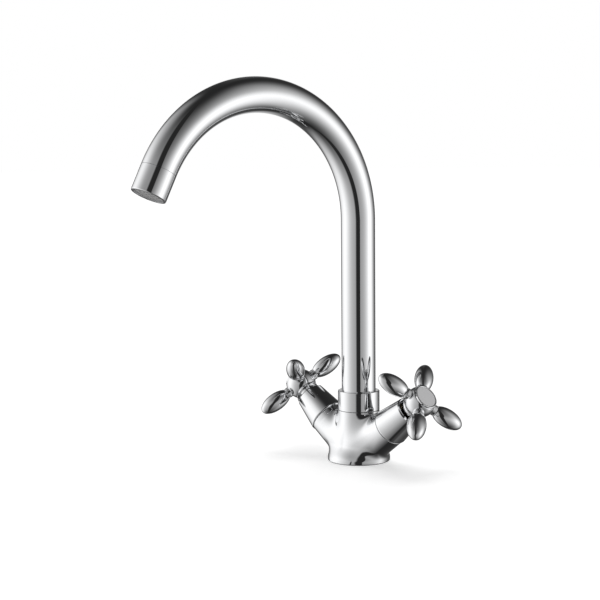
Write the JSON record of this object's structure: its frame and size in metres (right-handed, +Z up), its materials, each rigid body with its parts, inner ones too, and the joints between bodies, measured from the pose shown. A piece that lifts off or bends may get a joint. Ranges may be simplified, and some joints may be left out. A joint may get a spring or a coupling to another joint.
{
  "type": "two handle kitchen faucet",
  "caption": "Chromed deck-mounted kitchen mixer: round foot, swivelling gooseneck spout with aerator, and a cross handle on a tapered valve arm at each side.",
  "frame": {"origin": "centre of the underside of the foot, on the worktop", "axes": "+Z up along the spout leg, -Y towards the user, -X the hot side, +X the cold side"},
  "size_m": [0.1748, 0.2426, 0.3146],
  "materials": {
    "chrome_body": "polished chrome plate on brass",
    "chrome_spout": "polished chrome plate on tube",
    "chrome_handle": "polished chrome plate",
    "brass": "machined",
    "steel": "stainless",
    "black_rubber": "moulded",
    "white_plastic": "moulded",
    "grey_plastic": "moulded",
    "ceramic": "lapped ceramic",
    "satin_index": "satin"
  },
  "bodies": {
    "mixer_body": {"body": "chrome_body", "base_seal": "black_rubber", "collar": "chrome_body", "lower_slip_ring": "white_plastic", "upper_slip_ring": "white_plastic", "hot_shroud": "chrome_handle", "hot_cartridge": "brass", "hot_cartridge_seal": "grey_plastic", "hot_seat_seal": "black_rubber", "hot_fixed_disc": "ceramic", "cold_shroud": "chrome_handle", "cold_cartridge": "brass", "cold_cartridge_seal": "grey_plastic", "cold_seat_seal": "black_rubber", "cold_fixed_disc": "ceramic"},
    "spout": {"spout_foot": "brass", "lower_spout_seal": "black_rubber", "upper_spout_seal": "black_rubber", "spout_tube": "chrome_spout", "outlet_sleeve": "chrome_spout", "aerator_washer": "black_rubber", "aerator_cartridge": "grey_plastic", "aerator_screen": "steel"},
    "hot_handle": {"hot_turning_disc": "ceramic", "hot_spindle": "brass", "hot_stem_seal": "black_rubber", "hot_spindle_clip": "steel", "hot_hub": "chrome_handle", "hot_petal_1": "chrome_handle", "hot_petal_2": "chrome_handle", "hot_petal_3": "chrome_handle", "hot_petal_4": "chrome_handle", "hot_handle_screw": "steel", "hot_cap": "chrome_handle", "hot_index_disc": "satin_index"},
    "cold_handle": {"cold_turning_disc": "ceramic", "cold_spindle": "brass", "cold_stem_seal": "black_rubber", "cold_spindle_clip": "steel", "cold_hub": "chrome_handle", "cold_petal_1": "chrome_handle", "cold_petal_2": "chrome_handle", "cold_petal_3": "chrome_handle", "cold_petal_4": "chrome_handle", "cold_handle_screw": "steel", "cold_cap": "chrome_handle", "cold_index_disc": "satin_index"}
  },
  "joints": [
    {"name": "spout_swivel", "type": "hinge", "parent": "mixer_body", "child": "spout", "pos_m": [0, 0, 0.05], "axis": [0, 0, 1], "continuous": true},
    {"name": "hot_handle_turn", "type": "hinge", "parent": "mixer_body", "child": "hot_handle", "pos_m": [-0.06635, 0, 0.05644], "axis": [-0.788, 0, 0.6157], "range_deg": [0, 90]},
    {"name": "cold_handle_turn", "type": "hinge", "parent": "mixer_body", "child": "cold_handle", "pos_m": [0.06635, 0, 0.05644], "axis": [0.788, 0, 0.6157], "range_deg": [0, 90]}
  ]
}
